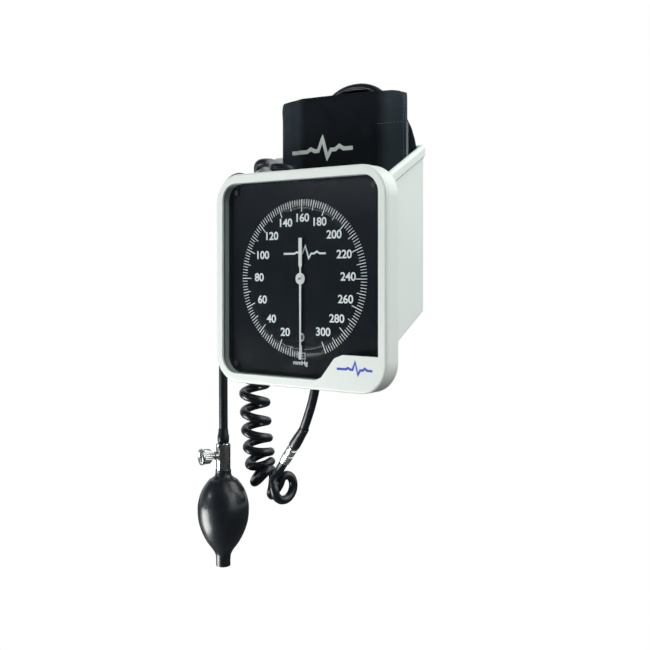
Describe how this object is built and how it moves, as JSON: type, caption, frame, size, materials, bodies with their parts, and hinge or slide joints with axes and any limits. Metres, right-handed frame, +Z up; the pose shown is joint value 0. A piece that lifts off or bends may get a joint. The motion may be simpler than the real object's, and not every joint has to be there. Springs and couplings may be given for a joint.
{
  "type": "wall aneroid sphygmomanometer",
  "caption": "Wall-mounted blood pressure gauge with a square dial head, storage basket, rolled cuff, coiled hose and squeeze bulb with release valve.",
  "frame": {"origin": "centre of the wall bracket's four-hole pattern, on the wall plane", "axes": "+Y into the wall, +Z up, the dial faces -Y and +X is to the right of someone reading it"},
  "size_m": [0.212, 0.0738, 0.4229],
  "materials": {
    "bracket_steel": "satin",
    "basket_plastic": "fine texture",
    "head_plastic": "semi gloss",
    "lens_clear": "clear",
    "seal_rubber": "matte",
    "surround_plastic": "satin",
    "dial_black": "satin",
    "screw_steel": "turned",
    "case_black": "satin",
    "movement_brass": "machined",
    "spring_bronze": "polished",
    "pointer_white": "matte",
    "hose_rubber": "smooth",
    "luer_chrome": "polished",
    "union_plastic": "plain",
    "cuff_nylon": "woven nylon",
    "cuff_trim": "tape",
    "hook_nylon": "hook tape",
    "bladder_rubber": "smooth",
    "valve_chrome": "polished",
    "needle_steel": "turned",
    "bulb_rubber": "satin"
  },
  "bodies": {
    "bracket": {"wall_bracket": "bracket_steel"},
    "unit": {"bladder_ports": "union_plastic", "bottom_plate": "movement_brass", "bulb_hose": "hose_rubber", "bulb_hose_sleeve": "hose_rubber", "case_screws": "screw_steel", "coil_end_hose": "hose_rubber", "coil_hanging": "hose_rubber", "coil_inside": "hose_rubber", "coil_link_hose": "hose_rubber", "coil_start_hose": "hose_rubber", "coil_stowed": "hose_rubber", "cuff_binding": "cuff_trim", "cuff_bladder": "bladder_rubber", "cuff_hose": "hose_rubber", "cuff_inner_wrap": "cuff_nylon", "cuff_outer_wrap": "cuff_nylon", "dial_plate": "dial_black", "dial_screws": "screw_steel", "dial_surround": "surround_plastic", "front_bezel": "head_plastic", "gauge_hose": "hose_rubber", "gauge_port": "movement_brass", "hairspring": "spring_bronze", "head_screws": "screw_steel", "hook_tape": "hook_nylon", "hose_sleeve": "hose_rubber", "hose_union": "union_plastic", "intake_valve": "union_plastic", "lens": "lens_clear", "lens_gasket": "seal_rubber", "luer_plug": "luer_chrome", "luer_socket": "luer_chrome", "movement_case": "case_black", "over_rim_hose": "hose_rubber", "plate_pillars": "movement_brass", "plate_screws": "screw_steel", "pressure_capsule": "movement_brass", "rear_housing": "head_plastic", "squeeze_bulb": "bulb_rubber", "storage_basket": "basket_plastic", "top_plate": "movement_brass", "valve_body": "valve_chrome"},
    "pointer_set": {"pointer": "pointer_white", "pinion_shaft": "movement_brass"},
    "sector": {"sector_gear": "movement_brass"},
    "plunger": {"capsule_plunger": "movement_brass"},
    "needle": {"valve_needle": "needle_steel"},
    "knob": {"valve_knob": "valve_chrome"},
    "ball": {"check_ball": "needle_steel"},
    "collar": {"luer_collar": "luer_chrome"}
  },
  "joints": [
    {"name": "lift_off", "type": "slide", "parent": "bracket", "child": "unit", "axis": [0, 0, 1], "range_m": [0, 0.0125]},
    {"name": "sector_turn", "type": "hinge", "parent": "unit", "child": "sector", "pos_m": [0, -0.0535, -0.02175], "axis": [0, -1, 0], "range_deg": [0, 54], "stiffness_Nm_per_rad": 0.0005},
    {"name": "pointer_turn", "type": "hinge", "parent": "unit", "child": "pointer_set", "pos_m": [0, -0.0535, 0], "axis": [0, 1, 0], "range_deg": [0, 337.5]},
    {"name": "plunger_slide", "type": "slide", "parent": "unit", "child": "plunger", "axis": [0, -1, 0], "range_m": [0, 0.0006]},
    {"name": "needle_slide", "type": "slide", "parent": "unit", "child": "needle", "axis": [-0.4493, -0.8934, 0], "range_m": [0, 0.00105]},
    {"name": "knob_turn", "type": "hinge", "parent": "needle", "child": "knob", "pos_m": [-0.10724, -0.0644, -0.1582], "axis": [-0.4493, -0.8934, 0], "range_deg": [0, 540]},
    {"name": "ball_lift", "type": "slide", "parent": "unit", "child": "ball", "axis": [0, 0, 1], "range_m": [0, 0.0013]},
    {"name": "collar_turn", "type": "hinge", "parent": "unit", "child": "collar", "pos_m": [-0.03842, -0.0366, -0.15496], "axis": [-0.6244, 0.1049, -0.774], "range_deg": [0, 90]}
  ],
  "couplings": [
    {"joint": "pointer_turn", "follows": "sector_turn", "ratio": 6.25},
    {"joint": "plunger_slide", "follows": "sector_turn", "m_per_rad": 0.00063662},
    {"joint": "needle_slide", "follows": "knob_turn", "m_per_rad": 0.00011141}
  ]
}
